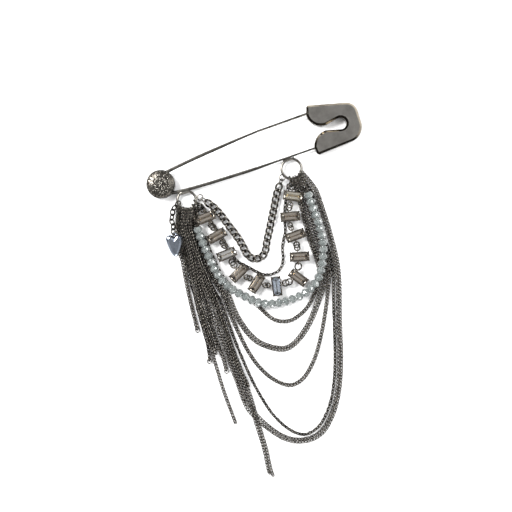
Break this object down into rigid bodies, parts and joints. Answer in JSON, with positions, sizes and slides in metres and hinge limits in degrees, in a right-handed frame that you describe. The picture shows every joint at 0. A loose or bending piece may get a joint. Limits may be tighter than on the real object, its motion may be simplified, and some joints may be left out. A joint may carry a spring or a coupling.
{
  "type": "lapel chain",
  "caption": "Safety-pin brooch with draped fine chains, a swag of step-cut stones in settings, a string of glass beads, a curb chain and a puffed heart.",
  "frame": {"origin": "middle of the bounding box in X and Y, on the surface that the brooch lies on", "axes": "+X along the pin towards its guard, +Y along the hanging chains from their ends up to the pin, +Z out of the front"},
  "size_m": [0.0888, 0.1362, 0.0077],
  "materials": {
    "pin_wire": "satin steel-grey wire",
    "guard_metal": "satin, bevelled and slightly mottled",
    "cap_metal": "darkened metal with bright high spots",
    "setting_metal": "darkened metal, worn bright at the edges",
    "chain_metal": "darkened bright-cut chain",
    "heart_metal": "polished, slightly blue",
    "stone": "foil-backed clear step-cut glass",
    "bead_glass": "faceted pale grey-blue glass",
    "thread": "thin white thread"
  },
  "bodies": {
    "brooch": {"fixed_bar": "pin_wire", "guard": "guard_metal", "cap": "cap_metal", "setting_1": "setting_metal", "setting_2": "setting_metal", "setting_3": "setting_metal", "setting_4": "setting_metal", "setting_5": "setting_metal", "setting_6": "setting_metal", "setting_7": "setting_metal", "setting_8": "setting_metal", "setting_9": "setting_metal", "setting_10": "setting_metal", "setting_11": "setting_metal", "stone_1": "stone", "stone_2": "stone", "stone_3": "stone", "stone_4": "stone", "stone_5": "stone", "stone_6": "stone", "stone_7": "stone", "stone_8": "stone", "stone_9": "stone", "stone_10": "stone", "stone_11": "stone", "setting_rings": "setting_metal", "curb_chain": "chain_metal", "beads": "bead_glass", "bead_thread": "thread", "bead_end_rings": "chain_metal", "box_chain": "chain_metal", "swag_1": "chain_metal", "swag_2a": "chain_metal", "swag_2b": "chain_metal", "swag_3": "chain_metal", "swag_4": "chain_metal", "swag_5a": "chain_metal", "swag_5b": "chain_metal", "fringe_1": "chain_metal", "fringe_2": "chain_metal", "fringe_3": "chain_metal", "fringe_4": "chain_metal", "fringe_5": "chain_metal", "fringe_6": "chain_metal", "fringe_7": "chain_metal", "fringe_8": "chain_metal", "fringe_9": "chain_metal", "heart": "heart_metal", "heart_links": "chain_metal"},
    "needle": {"needle": "pin_wire"}
  },
  "joints": [
    {"name": "needle_hinge", "type": "hinge", "parent": "brooch", "child": "needle", "pos_m": [-0.0389, 0.056, 0.00345], "axis": [0, 0, -1], "range_deg": [0, 6.5], "stiffness_Nm_per_rad": 0.02, "springref_deg": -20.05}
  ]
}
